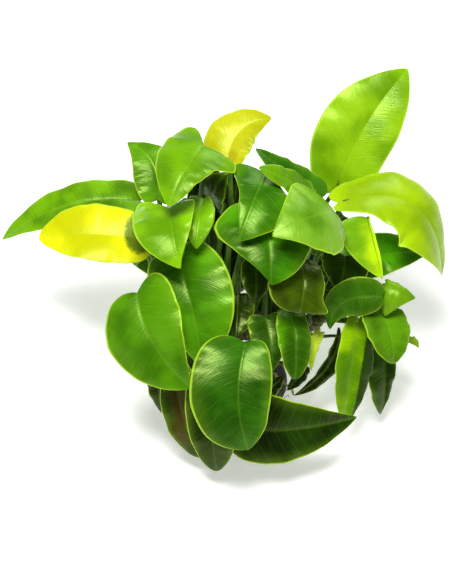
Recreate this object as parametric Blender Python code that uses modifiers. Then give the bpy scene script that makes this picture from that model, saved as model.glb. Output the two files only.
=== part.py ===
"""Anubias on a stone: a creeping rhizome, its leaves on stalks, and its roots.

The stone stands on the plane z = 0 on its flat underside. The rhizome creeps
over the top of the stone in three branches, each leaf grows from a place on
one branch, and the roots run down the stone. All driving sizes are in
millimetres and are turned into metres by MM.
"""

import math
from typing import NamedTuple, Optional

import bmesh
import bpy
import numpy as np

MM = 0.001

# The plant: a leaf faces away from its heart and leans to the open side
PLANT_HEART = (0.0, 6.0, 40.0)
OPEN_SIDE = (0.0, -0.45, 0.75)
BLADE_THICKNESS = 0.9
STALK_FOOT_RADIUS = 1.25
STALK_NECK_RADIUS = 0.9
STALK_GAP = 0.7
STALK_STEPS = 5

# The stone: half sizes of the round body that is cut flat at z = 0
STONE_CENTRE = (0.0, 2.0, 12.0)
STONE_HALF_SIZES = (27.0, 22.0, 20.0)
STONE_SEGMENTS = 28
STONE_RINGS = 16

# Rhizome branches: four control points of a smooth curve, and a radius
RHIZOME = {
    "rhizome_main": (((-22, 3, 29), (-9, 8, 41), (9, 9, 41), (24, 12, 31)), 4.3),
    "rhizome_right": (((28, 13, 31), (33, 16, 34), (40, 21, 37), (47, 24, 38)), 3.8),
    "rhizome_front": (((1, 0, 38), (2, -6, 39), (2, -12, 36), (3, -18, 29)), 3.8),
}
MAIN, RIGHT, FRONT = RHIZOME

# Roots: compass bearing round the stone, and the angles from the top that
# each one starts and ends at
ROOT_RADIUS = 0.8
ROOT_GAP = 0.6
ROOT_POINTS = 7
ROOTS = {
    "root_left": (176, 58, 98),
    "root_left_front": (212, 40, 104),
    "root_front_left": (240, 30, 96),
    "root_front_right": (320, 34, 101),
    "root_right_front": (344, 48, 95),
    "root_right": (8, 58, 103),
    "root_back_right": (58, 38, 99),
    "root_back_left": (124, 36, 102),
}

# Finishes: base colour and roughness
FRESH = ((0.19, 0.47, 0.01), 0.35)
LIME = ((0.38, 0.62, 0.01), 0.35)
DEEP = ((0.07, 0.24, 0.01), 0.35)
OLIVE = ((0.25, 0.31, 0.02), 0.40)
YELLOW = ((0.80, 0.76, 0.01), 0.40)
BARK = ((0.12, 0.19, 0.03), 0.60)
ROOT = ((0.30, 0.27, 0.14), 0.70)
ROCK = ((0.05, 0.05, 0.045), 0.85)


# Where along a blade, as shares of its turn, its edges are scaled
EDGE_PLACES = np.array((0.1, 0.3, 0.5, 0.7, 0.9))
EDGE_SPREAD = 0.13
EVEN = (1, 1, 1, 1, 1)


class Leaf(NamedTuple):
    """One leaf: a heart-shaped blade on a stalk, sizes in mm and degrees.

    foot is the branch it grows from, the share of the way along it and the
    angle from its top. arch lifts the middle of the midrib and side bends it
    to the left. roll turns the blade about its chord, fold raises its halves
    and cup lowers its edges. lean widens the right half. tapers shapes the
    right and left edge towards the tip, and lobes pulls them back beside the
    stalk. edges scales the right and left half width at five places, and
    first and second place the stalk's inner control points.
    """

    name: str
    base: tuple
    tip: tuple
    width: float
    finish: tuple
    foot: tuple
    arch: float = 4.0
    side: float = 0.0
    roll: float = 0.0
    fold: float = 10.0
    cup: float = 0.12
    lean: float = 0.0
    taper: float = 0.62
    tapers: Optional[tuple] = None
    lobes: tuple = (0.25, 0.25)
    edges: tuple = (EVEN, EVEN)
    first: Optional[tuple] = None
    second: Optional[tuple] = None


LEAVES = (
    Leaf("leaf_tall_right", (44, 56, 73), (74, 94, 107), 30, FRESH, (RIGHT, 0.1, -80),
         arch=5, side=3, fold=8, lean=-0.1, lobes=(0.2, 0.2),
         edges=((1, 1, 1.05, 1.25, 1.5), (0.8, 0.87, 1.1, 1.22, 1.15))),
    Leaf("leaf_arching_right", (44, 40, 83), (88, 25, 54), 25, LIME, (RIGHT, 0.45, -15),
         arch=13, side=11, roll=-10, fold=8, cup=0.2, lobes=(0.15, 0.15),
         edges=((0.6, 0.75, 1.1, 2, 2.6), (1, 1.1, 1.27, 1.35, 1.3)), second=(40, 33, 74)),
    Leaf("leaf_folded_right", (56, 34, 81), (62, 12, 68), 24, FRESH, (RIGHT, 0.85, -65),
         arch=2, roll=25, fold=30, cup=0, lean=0.3, lobes=(0.1, 0.1),
         edges=((0.8, 1, 1, 0.9, 0.8), (0.1, 0.12, 0.15, 0.2, 0.3)), first=(46, 38, 50),
         second=(54, 50, 66)),
    Leaf("leaf_shaded_right", (48, 29, 58), (85, 41, 52), 20, DEEP, (RIGHT, 0.7, -10),
         edges=((1, 1, 0.95, 0.8, 0.7), (1, 1, 1, 1, 1))),
    Leaf("leaf_crown_right", (42, 24, 95), (16, 4, 103), 32, LIME, (MAIN, 0.88, -5),
         arch=6, fold=0, cup=0.25, taper=0.52, lobes=(0.05, 0.2),
         edges=((1.4, 1.25, 1.1, 1, 1), (0.75, 0.9, 1.05, 1.1, 1))),
    Leaf("leaf_crown_back", (37, 45, 80), (10, 55, 100), 15, DEEP, (MAIN, 0.8, -50),
         arch=2, side=2, edges=((1.6, 1.4, 1.15, 1, 1), (1, 1, 1, 1, 1))),
    Leaf("leaf_crown_slim", (36, 35.5, 88.7), (11, 31, 114), 12, LIME, (MAIN, 0.66, -40),
         arch=2, taper=0.8, lobes=(0, 0), first=(22, 36, 70), second=(38, 42, 79)),
    Leaf("leaf_crown_centre", (14, 36, 105), (3, 6, 98), 30, FRESH, (MAIN, 0.5, -15),
         fold=8, cup=0.3, lean=-0.25, tapers=(0.38, 0.62), lobes=(0.2, 0.05),
         edges=((2.3, 1.45, 1, 0.65, 0.9), (0.25, 0.45, 0.85, 1, 1))),
    Leaf("leaf_wavy_centre", (13, 29, 94), (16, -5, 84), 38, FRESH, (MAIN, 0.74, 15),
         arch=5, fold=5, cup=0.3, taper=0.7, tapers=(0.4, 0.7),
         edges=((0.75, 0.85, 1.1, 1.15, 1.3), (1, 1, 1, 1.05, 1.3)), first=(16, 16, 62)),
    Leaf("leaf_crown_left", (-11, 46, 111), (-25, 19, 104), 32, FRESH, (MAIN, 0.3, -50),
         fold=0, cup=0.2, lobes=(0.75, 0.05),
         edges=((1.05, 1.05, 1, 0.95, 0.9), (2, 1.3, 0.6, 0.5, 0.6))),
    Leaf("leaf_upper_left", (-30, 41, 84), (-43, 65, 93), 20, LIME, (MAIN, 0.2, -55),
         arch=3, side=-5, lobes=(0.2, 0.2), edges=((1, 1, 1, 0.9, 0.5), (1, 1, 1, 1, 1))),
    Leaf("leaf_middle_left", (-25, 29, 92), (-20, 1, 87), 30, FRESH, (MAIN, 0.17, -10),
         arch=5, cup=0.2, lean=0.1, tapers=(0.62, 0.38), lobes=(0.8, 0.25),
         edges=((1.2, 1.05, 0.97, 1, 1), (1.1, 0.95, 0.75, 0.75, 0.9))),
    Leaf("leaf_long_left", (-38, 53, 70), (-97, 48, 51), 21, FRESH, (MAIN, 0.04, -60),
         arch=8, side=-2),
    Leaf("leaf_yellow_left", (-33, 32, 69), (-80, 37, 65), 25, YELLOW, (MAIN, 0.1, -20),
         taper=0.75, lobes=(0.1, 0.1), edges=((0.9, 1, 1.1, 1.3, 1.4), (1.3, 1.15, 1, 1, 1))),
    Leaf("leaf_yellow_back", (-1, 51, 92), (17, 70, 102), 20, YELLOW, (MAIN, 0.5, -55),
         arch=2, side=6, lean=-0.1, taper=0.7, lobes=(0.1, 0.1),
         edges=((1, 1, 1, 1, 1), (1.1, 1.15, 1.15, 1, 1))),
    Leaf("leaf_tucked_left", (-11, 36, 90), (-14, 14, 84), 14, LIME, (MAIN, 0.38, -15),
         arch=3, edges=((1, 1, 1, 1, 1), (0.4, 0.55, 0.85, 1, 1))),
    Leaf("leaf_tucked_back", (-7, 44, 78), (-1, 47, 94), 16, DEEP, (MAIN, 0.36, -65)),
    Leaf("leaf_broad_left", (-22, 18, 75), (-12, -16, 46), 35, FRESH, (MAIN, 0.28, 15),
         arch=7, side=3, cup=0.2, lean=-0.2,
         edges=((1.25, 1.2, 1, 1, 1), (0.7, 0.8, 0.88, 0.95, 1))),
    Leaf("leaf_heart_left", (-38, 2, 71), (-16, -29, 48), 33, FRESH, (MAIN, 0.03, 30),
         arch=6, side=-3, cup=0.15, lean=0.2, lobes=(0.12, 0.35),
         edges=((0.75, 0.82, 0.93, 0.93, 1), (1.2, 1.3, 1.25, 1.1, 1))),
    Leaf("leaf_heart_front", (6, -17, 62), (7, -49, 33), 34, FRESH, (FRONT, 0.75, 0),
         arch=6, side=-4, cup=0.15, lean=0.2, lobes=(0.12, 0.2),
         edges=((0.95, 0.95, 0.95, 1.1, 1.5), (0.9, 0.93, 1, 1.1, 1.6))),
    Leaf("leaf_low_front", (-9, -19, 46), (-6, -43, 10), 21, DEEP, (FRONT, 0.8, 60),
         arch=5, taper=0.75, edges=((1, 1, 1, 1, 1), (1, 1, 1, 1.15, 1.15))),
    Leaf("leaf_browned_front", (-23, -15, 42), (-10, -35, 7), 18, OLIVE, (MAIN, 0.25, 75),
         arch=5, side=-2, edges=((0.7, 0.75, 0.85, 1, 1.2), (1, 1, 1, 1, 1))),
    Leaf("leaf_dark_left", (-29, -6, 43), (-28, -21, 20), 12, DEEP, (MAIN, 0.16, 88),
         arch=3),
    Leaf("leaf_low_right", (-1, -34, 26), (52, -27, 26), 27, DEEP, (FRONT, 0.97, 20),
         side=-1, lean=0.1, taper=0.55, lobes=(0.1, 0.1),
         edges=((0.85, 0.93, 1, 1, 1), (1.8, 1.6, 1.35, 1.1, 1))),
    Leaf("leaf_hanging_right", (53, 9, 46), (47, -26, 16), 17, LIME, (RIGHT, 0.65, 80),
         side=-3, edges=((0.6, 0.75, 0.9, 1, 1), (1, 1, 1.2, 1.3, 1.2))),
    Leaf("leaf_side_right", (61, 9, 52), (67, -11, 41), 22, FRESH, (RIGHT, 0.95, 50),
         arch=3, taper=0.8, edges=((1, 1, 1, 1, 1), (1, 1, 0.97, 0.85, 0.8)), first=(53, 18, 47),
         second=(60, 14, 46)),
    Leaf("leaf_curled_right", (62, 8, 61), (41, 3, 46), 17, FRESH, (RIGHT, 0.75, 15),
         arch=3, side=-7, lobes=(0.1, 0.1), edges=((1, 1, 1, 1, 1), (1, 1, 1, 0.85, 0.6)),
         first=(50, 14, 57), second=(57, 9, 54)),
    Leaf("leaf_outer_right", (64, 15, 62), (76, 10, 58), 12, LIME, (RIGHT, 0.95, -30),
         arch=2, cup=0.4, lean=0.5, edges=((1, 1.2, 1.3, 1.3, 1), (0.8, 0.6, 0.4, 0.3, 0.3))),
    Leaf("leaf_small_right", (74, 10, 31), (79, 6, 30), 4, LIME, (RIGHT, 0.97, 76),
         arch=2, first=(57, 19, 37), second=(70, 15, 30)),
    Leaf("leaf_drooping_right", (63, 8, 34), (63, -13, 9), 12, DEEP, (RIGHT, 0.8, 85),
         arch=3, edges=((1, 1.2, 1.4, 1.6, 1.8), (1, 1, 1, 0.8, 0.6))),
    Leaf("leaf_curved_right", (46, 9, 36), (26, -13, 22), 6, DEEP, (MAIN, 0.9, 80),
         arch=3, side=3, edges=((1, 1, 1, 1, 1), (1.5, 1.6, 1.6, 1.6, 1.6))),
    Leaf("leaf_young_rolled", (37, 1, 47), (33, -15, 41), 5, YELLOW, (MAIN, 0.85, 60),
         arch=3, side=-3),
    Leaf("leaf_inner_small", (14, -1, 59), (17, -20, 48), 15, FRESH, (FRONT, 0.4, -30),
         arch=2, edges=((1.2, 1.2, 1.1, 1, 1), (1.4, 1.3, 1.1, 1, 1))),
    Leaf("leaf_inner_front", (24.5, 1, 59), (26, -23, 46), 14, FRESH, (FRONT, 0.2, -50),
         arch=3, taper=0.9, edges=((1.1, 1.2, 1.1, 1, 1), (1, 1, 1, 1, 1))),
    Leaf("leaf_olive_centre", (28, 16, 76), (28, -6, 68), 30, OLIVE, (MAIN, 0.8, 35),
         arch=5, cup=0.2, taper=1.3, tapers=(1.3, 2.2), lobes=(0, 0),
         edges=((1, 1, 1, 1, 1), (1, 0.7, 0.55, 0.95, 1.1))),
    Leaf("leaf_inner_round", (3, 11, 59), (2, -8, 56), 14, DEEP, (FRONT, 0.1, 40),
         arch=2, taper=0.9),
    Leaf("leaf_inner_slim", (10, 18, 72), (10, 5, 61), 13, DEEP, (MAIN, 0.62, 45),
         arch=2),
    Leaf("leaf_inner_right", (47, 26, 66), (44, 13, 60), 22, DEEP, (RIGHT, 0.3, 20),
         arch=2),
    Leaf("leaf_peeping_right", (42, 43, 72), (48, 33, 70), 10, DEEP, (RIGHT, 0.3, -50),
         arch=1),
    Leaf("leaf_low_small", (13, -16, 25), (22, -11, 34), 7, DEEP, (FRONT, 0.75, -80),
         arch=1),
    Leaf("leaf_low_slim", (31, -6, 33), (23, -18, 32), 7, DEEP, (FRONT, 0.5, -75),
         arch=1),
    Leaf("leaf_shadowed_left", (1, 46, 58), (3, 60, 86), 24, DEEP, (MAIN, 0.44, -62),
         arch=2),
    Leaf("leaf_shadowed_centre", (11, 30, 48), (13, 45, 66), 19, DEEP, (MAIN, 0.67, -66),
         arch=2),
    Leaf("leaf_rear_left", (-18, 52, 58), (-34, 72, 34), 22, DEEP, (MAIN, 0.25, -95)),
    Leaf("leaf_rear_centre", (8, 50, 56), (12, 76, 36), 24, DEEP, (MAIN, 0.58, -85)),
    Leaf("leaf_rear_right", (32, 48, 50), (50, 68, 34), 22, DEEP, (MAIN, 0.95, -95)),
    Leaf("leaf_rear_low", (-2, 42, 47), (-8, 62, 24), 20, DEEP, (MAIN, 0.45, -90)),
    Leaf("leaf_rear_side", (-28, 36, 48), (-42, 60, 32), 16, DEEP, (MAIN, 0.12, -90)),
)


def unit(vector):
    """Return the vector at length one."""
    return np.asarray(vector, float) / np.linalg.norm(vector)


def bezier(points, share):
    """Return the place at a share of the way along a four-point curve."""
    a, b, c, d = (np.array(point, float) for point in points)
    rest = 1 - share
    return a * rest**3 + 3 * b * share * rest**2 + 3 * c * share**2 * rest + d * share**3


def bezier_way(points, share):
    """Return the direction of a four-point curve at a share of the way."""
    a, b, c, d = (np.array(point, float) for point in points)
    rest = 1 - share
    return unit((b - a) * rest**2 + 2 * (c - b) * share * rest + (d - c) * share**2)


def leaf_axes(leaf):
    """Return a leaf's length and its forward, left and upward directions."""
    base, tip = np.array(leaf.base, float), np.array(leaf.tip, float)
    length = np.linalg.norm(tip - base)
    forward = (tip - base) / length
    outward = 0.5 * unit((base + tip) / 2 - np.array(PLANT_HEART)) + np.array(OPEN_SIDE)
    up = unit(outward - outward.dot(forward) * forward)
    roll = math.radians(leaf.roll)
    up = up * math.cos(roll) + np.cross(forward, up) * math.sin(roll)
    return length, forward, np.cross(up, forward), up


def blade_point(leaf, turn, across):
    """Return a place on the middle surface of a blade.

    turn runs from 0 at the base to pi at the tip, and across from -1 at the
    right edge to 1 at the left edge. The half width follows the sine of turn,
    and the midrib is a parabola over the chord.
    """
    length, forward, left, up = leaf_axes(leaf)
    hand = 0 if across < 0 else 1
    taper = leaf.tapers[hand] if leaf.tapers else leaf.taper
    half = (1 + math.cos(turn)) / 2
    edge = 1 - half**taper - leaf.lobes[hand] * math.sin(turn) * half**2
    along = (1 - abs(across)) * (1 - half**leaf.taper) + abs(across) * edge
    inside = max(along, 0)
    bend = leaf.arch * up + leaf.side * left
    place = np.array(leaf.base, float) + length * along * forward
    place = place + (4 * inside * (1 - inside) + 4 * min(along, 0)) * bend
    midrib = unit(length * forward + 4 * (1 - 2 * inside) * bend)
    level = unit(left - left.dot(midrib) * midrib)
    raised = np.cross(midrib, level)
    half_width = leaf.width / 2
    near = np.exp(-(((turn / math.pi - EDGE_PLACES) / EDGE_SPREAD) ** 2))
    scale = near.dot(leaf.edges[hand]) / near.sum()
    scale *= 1 - leaf.lean if hand else 1 + leaf.lean
    reach = half_width * scale * math.sin(turn) * across
    fold = math.radians(leaf.fold)
    rise = abs(reach) * math.sin(fold) - leaf.cup * reach**2 / half_width
    return place + reach * math.cos(fold) * level + rise * raised


def stalk_points(leaf):
    """Return the four control points of a leaf's stalk."""
    branch, share, lean = leaf.foot
    points, radius = RHIZOME[branch]
    way = bezier_way(points, share)
    top = unit(np.array((0, 0, 1.0)) - way[2] * way)
    lean = math.radians(lean)
    outward = top * math.cos(lean) + np.cross(way, top) * math.sin(lean)
    start = bezier(points, share) + outward * (radius + STALK_GAP)
    length, forward, left, up = leaf_axes(leaf)
    midrib = unit(length * forward + 4 * (leaf.arch * up + leaf.side * left))
    under = unit(up - up.dot(midrib) * midrib)
    end = np.array(leaf.base, float) + 0.05 * length * midrib - 0.4 * under
    reach = np.linalg.norm(end - start)
    first = start + unit(outward + np.array((0, 0, 0.6))) * 0.4 * reach
    second = end - unit(0.5 * midrib + 0.9 * under) * 0.3 * reach
    first = first if leaf.first is None else np.array(leaf.first, float)
    second = second if leaf.second is None else np.array(leaf.second, float)
    return start, first, second, end


def stone_radius(way):
    """Return how far the stone reaches from its centre in a direction."""
    x, y, z = way
    plain = 1 / np.linalg.norm(way / np.array(STONE_HALF_SIZES))
    lumps = 0.035 * math.sin(4 * x + 1.3) * math.cos(3 * y)
    lumps += 0.03 * math.sin(5 * y - 0.6 + 2 * z) + 0.02 * math.sin(7 * x - 4 * z)
    return plain * (1 + lumps)


def make_collection(name):
    """Return a new collection in the scene."""
    collection = bpy.data.collections.new(name)
    bpy.context.scene.collection.children.link(collection)
    return collection


def make_material(name, finish):
    """Return a Principled material with a base colour and a roughness."""
    colour, roughness = finish
    material = bpy.data.materials.new(name)
    material.use_nodes = True
    shader = material.node_tree.nodes["Principled BSDF"]
    shader.inputs["Base Color"].default_value = (*colour, 1)
    shader.inputs["Roughness"].default_value = roughness
    shader.inputs["Metallic"].default_value = 0.0
    return material


def add_object(collection, name, data, finish):
    """Return a new object with its own material, in a collection."""
    piece = bpy.data.objects.new(name, data)
    data.materials.append(make_material(name, finish))
    collection.objects.link(piece)
    return piece


def tube_mesh(name, points, radii, sides):
    """Return the closed mesh of a tube through points, from a curve.

    Args:
        name: The mesh's name.
        points: Places along the middle of the tube, in millimetres.
        radii: The tube's radius at each place, in millimetres.
        sides: The curve's bevel resolution.
    """
    curve = bpy.data.curves.new(name, "CURVE")
    curve.dimensions = "3D"
    curve.bevel_depth = MM
    curve.bevel_resolution = sides
    curve.use_fill_caps = True
    spline = curve.splines.new("POLY")
    spline.points.add(len(points) - 1)
    for knot, point, radius in zip(spline.points, points, radii):
        knot.co = (*(np.asarray(point) * MM), 1)
        knot.radius = radius
    guide = bpy.data.objects.new(name + "_curve", curve)
    bpy.context.scene.collection.objects.link(guide)
    bpy.context.view_layer.update()
    evaluated = guide.evaluated_get(bpy.context.evaluated_depsgraph_get())
    mesh = bpy.data.meshes.new_from_object(evaluated)
    mesh.name = name
    bpy.data.objects.remove(guide)
    bm = bmesh.new()
    bm.from_mesh(mesh)
    bmesh.ops.remove_doubles(bm, verts=bm.verts, dist=0.00001)
    bmesh.ops.recalc_face_normals(bm, faces=bm.faces)
    bm.to_mesh(mesh)
    bm.free()
    return mesh


def add_stone(parts):
    """Add the stone, a lumpy round body cut flat underneath."""
    bm = bmesh.new()
    bmesh.ops.create_uvsphere(bm, u_segments=STONE_SEGMENTS, v_segments=STONE_RINGS, radius=1)
    centre = np.array(STONE_CENTRE)
    for vert in bm.verts:
        way = unit(vert.co)
        vert.co = (centre + way * stone_radius(way)) * MM
    everything = bm.verts[:] + bm.edges[:] + bm.faces[:]
    cut = bmesh.ops.bisect_plane(
        bm, geom=everything, plane_co=(0, 0, 0), plane_no=(0, 0, 1), clear_inner=True
    )
    rim = [item for item in cut["geom_cut"] if isinstance(item, bmesh.types.BMEdge)]
    bmesh.ops.holes_fill(bm, edges=rim)
    bmesh.ops.recalc_face_normals(bm, faces=bm.faces)
    mesh = bpy.data.meshes.new("stone")
    bm.to_mesh(mesh)
    bm.free()
    mesh.shade_smooth()
    mesh.set_sharp_from_angle(angle=math.radians(50))
    return add_object(parts, "stone", mesh, ROCK)


def add_rhizome(parts):
    """Add the three branches of the rhizome, each narrowing at its ends."""
    steps = 9
    for name, (points, radius) in RHIZOME.items():
        shares = [step / steps for step in range(steps + 1)]
        places = [bezier(points, share) for share in shares]
        radii = [radius * (0.84 + 0.16 * math.sin(math.pi * share)) for share in shares]
        add_object(parts, name, tube_mesh(name, places, radii, 3), BARK)


def add_roots(parts):
    """Add the roots, which lie close over the stone's surface."""
    centre = np.array(STONE_CENTRE)
    for name, (bearing, upper, lower) in ROOTS.items():
        places = []
        for step in range(ROOT_POINTS):
            share = step / (ROOT_POINTS - 1)
            fall = math.radians(upper + (lower - upper) * share)
            turn = math.radians(bearing + 5 * math.sin(3 * share + bearing))
            flat = math.sin(fall)
            way = np.array((flat * math.cos(turn), flat * math.sin(turn), math.cos(fall)))
            places.append(centre + way * (stone_radius(way) + ROOT_RADIUS + ROOT_GAP))
        radii = [ROOT_RADIUS * (1 - 0.35 * step / ROOT_POINTS) for step in range(ROOT_POINTS)]
        add_object(parts, name, tube_mesh(name, places, radii, 1), ROOT)


def add_leaf(parts, cutters, leaf):
    """Add a leaf: a thickened blade joined to the stalk that carries it."""
    rows = 6 if leaf.width > 17 else 5 if leaf.width > 11 else 4
    bm = bmesh.new()
    bmesh.ops.create_grid(bm, x_segments=rows, y_segments=4, size=0.5)
    for vert in bm.verts:
        turn = math.pi * (vert.co.x + 0.5)
        vert.co = blade_point(leaf, turn, round(2 * vert.co.y, 6)) * MM
    bmesh.ops.remove_doubles(bm, verts=bm.verts, dist=0.00001)
    mesh = bpy.data.meshes.new(leaf.name)
    bm.to_mesh(mesh)
    bm.free()
    mesh.shade_smooth()
    blade = add_object(parts, leaf.name, mesh, leaf.finish)
    solidify = blade.modifiers.new("Thickness", "SOLIDIFY")
    solidify.thickness = BLADE_THICKNESS * MM
    solidify.offset = 0
    control = stalk_points(leaf)
    shares = [step / STALK_STEPS for step in range(STALK_STEPS + 1)]
    places = [bezier(control, share) for share in shares]
    slim = min(1.0, 0.5 + leaf.width / 30)
    thinning = STALK_FOOT_RADIUS - STALK_NECK_RADIUS
    radii = [slim * (STALK_FOOT_RADIUS - thinning * share) for share in shares]
    tube = tube_mesh(leaf.name + "_stalk", places, radii, 1)
    stalk = add_object(cutters, leaf.name + "_stalk", tube, leaf.finish)
    stalk.hide_render = True
    stalk.display_type = "WIRE"
    joint = blade.modifiers.new("Stalk", "BOOLEAN")
    joint.operation = "UNION"
    joint.solver = "EXACT"
    joint.object = stalk
    for modifier in blade.modifiers:
        modifier.show_render = modifier.show_viewport
    return blade


def main():
    """Build the whole plant on its stone."""
    for item in list(bpy.data.objects):
        bpy.data.objects.remove(item)
    parts = make_collection("anubias_on_stone")
    cutters = make_collection("cutters")
    add_stone(parts)
    add_rhizome(parts)
    add_roots(parts)
    for leaf in LEAVES:
        add_leaf(parts, cutters, leaf)


main()
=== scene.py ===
"""Anubias on a stone: the dressed plant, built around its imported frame.

A leaf is a heart-shaped blade on a stalk. Its blade is one closed surface
worked out on a grid from a few sizes in millimetres, its stalk is a tapering
tube along a four-point curve that starts at a place on the rhizome, and its
finish follows its own veins. The stone, the rhizome and the roots are grids
as well. Lengths inside the classes are millimetres, turned into metres when a
mesh is made.
"""

import logging
import math
from dataclasses import dataclass, field
from enum import Enum
from typing import Any, ClassVar, Optional, Sequence, Union

import bpy
import numpy as np
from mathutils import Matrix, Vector


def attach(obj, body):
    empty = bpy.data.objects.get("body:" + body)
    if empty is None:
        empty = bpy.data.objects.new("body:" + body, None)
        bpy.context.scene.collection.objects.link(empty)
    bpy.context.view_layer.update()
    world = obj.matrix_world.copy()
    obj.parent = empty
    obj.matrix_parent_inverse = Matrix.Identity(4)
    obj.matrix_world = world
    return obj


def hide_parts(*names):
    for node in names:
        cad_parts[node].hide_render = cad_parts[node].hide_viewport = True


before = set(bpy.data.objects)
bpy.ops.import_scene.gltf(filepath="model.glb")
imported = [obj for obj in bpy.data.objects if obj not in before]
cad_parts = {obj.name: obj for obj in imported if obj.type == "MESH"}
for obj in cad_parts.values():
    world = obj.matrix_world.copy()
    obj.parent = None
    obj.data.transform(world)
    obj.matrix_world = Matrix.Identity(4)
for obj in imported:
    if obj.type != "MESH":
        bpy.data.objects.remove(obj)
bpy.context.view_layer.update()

log = logging.getLogger("anubias")

MM = 0.001
Triple = tuple[float, float, float]
Colour = str
Five = tuple[float, float, float, float, float]
Operand = Union["Number", float, int]

# The plant: a leaf faces away from its heart and leans to the open side
PLANT_HEART = (0.0, 6.0, 40.0)
OPEN_SIDE = (0.0, -0.45, 0.75)

# Rhizome branches: four control points of a smooth curve, and a radius
RHIZOME = {
    "rhizome_main": (((-22, 3, 29), (-9, 8, 41), (9, 9, 41), (24, 12, 31)), 4.3),
    "rhizome_right": (((28, 13, 31), (33, 16, 34), (40, 21, 37), (47, 24, 38)), 3.8),
    "rhizome_front": (((1, 0, 38), (2, -6, 39), (2, -12, 36), (3, -18, 29)), 3.8),
}
MAIN, RIGHT, FRONT = RHIZOME

# Side veins, in mm: how they lean and bow towards the tip, and how far apart they
# and the hair veins between them are
VEIN_LEAN, VEIN_BOW = 0.35, 0.012
VEIN_GAP, HAIR_GAP = 4.4, 0.85

WHITE = (1.0, 1.0, 1.0, 1.0)


def unit(vectors: np.ndarray) -> np.ndarray:
    """Return vectors at length one, along their last axis."""
    vectors = np.asarray(vectors, float)
    return vectors / np.maximum(np.linalg.norm(vectors, axis=-1, keepdims=True), 1e-12)


def bezier(points: Sequence[Triple], share: np.ndarray) -> np.ndarray:
    """Return places on a four-point curve.

    The weights are the cubic Bernstein weights of the share of the way.

    Args:
        points: The curve's four control points.
        share: Shares of the way along, from 0 to 1.

    Returns:
        One place for each share.
    """
    a, b, c, d = np.asarray(points, float)
    t = np.asarray(share, float)[..., None]
    rest = 1 - t
    return a * rest**3 + 3 * b * t * rest**2 + 3 * c * t**2 * rest + d * t**3


def bezier_way(points: Sequence[Triple], share: np.ndarray) -> np.ndarray:
    """Return the unit directions of a four-point curve, its derivative."""
    a, b, c, d = np.asarray(points, float)
    t = np.asarray(share, float)[..., None]
    rest = 1 - t
    return unit((b - a) * rest**2 + 2 * (c - b) * t * rest + (d - c) * t**2)


def linear(code: Colour) -> tuple[float, float, float, float]:
    """Return a screen colour such as "#6fae08" as linear light with alpha."""
    parts = [int(code[i:i + 2], 16) / 255 for i in (1, 3, 5)]
    return (*(p / 12.92 if p <= 0.04045 else ((p + 0.055) / 1.055) ** 2.4 for p in parts), 1.0)


# --------------------------------------------------------------------------
# Meshes
# --------------------------------------------------------------------------


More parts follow.
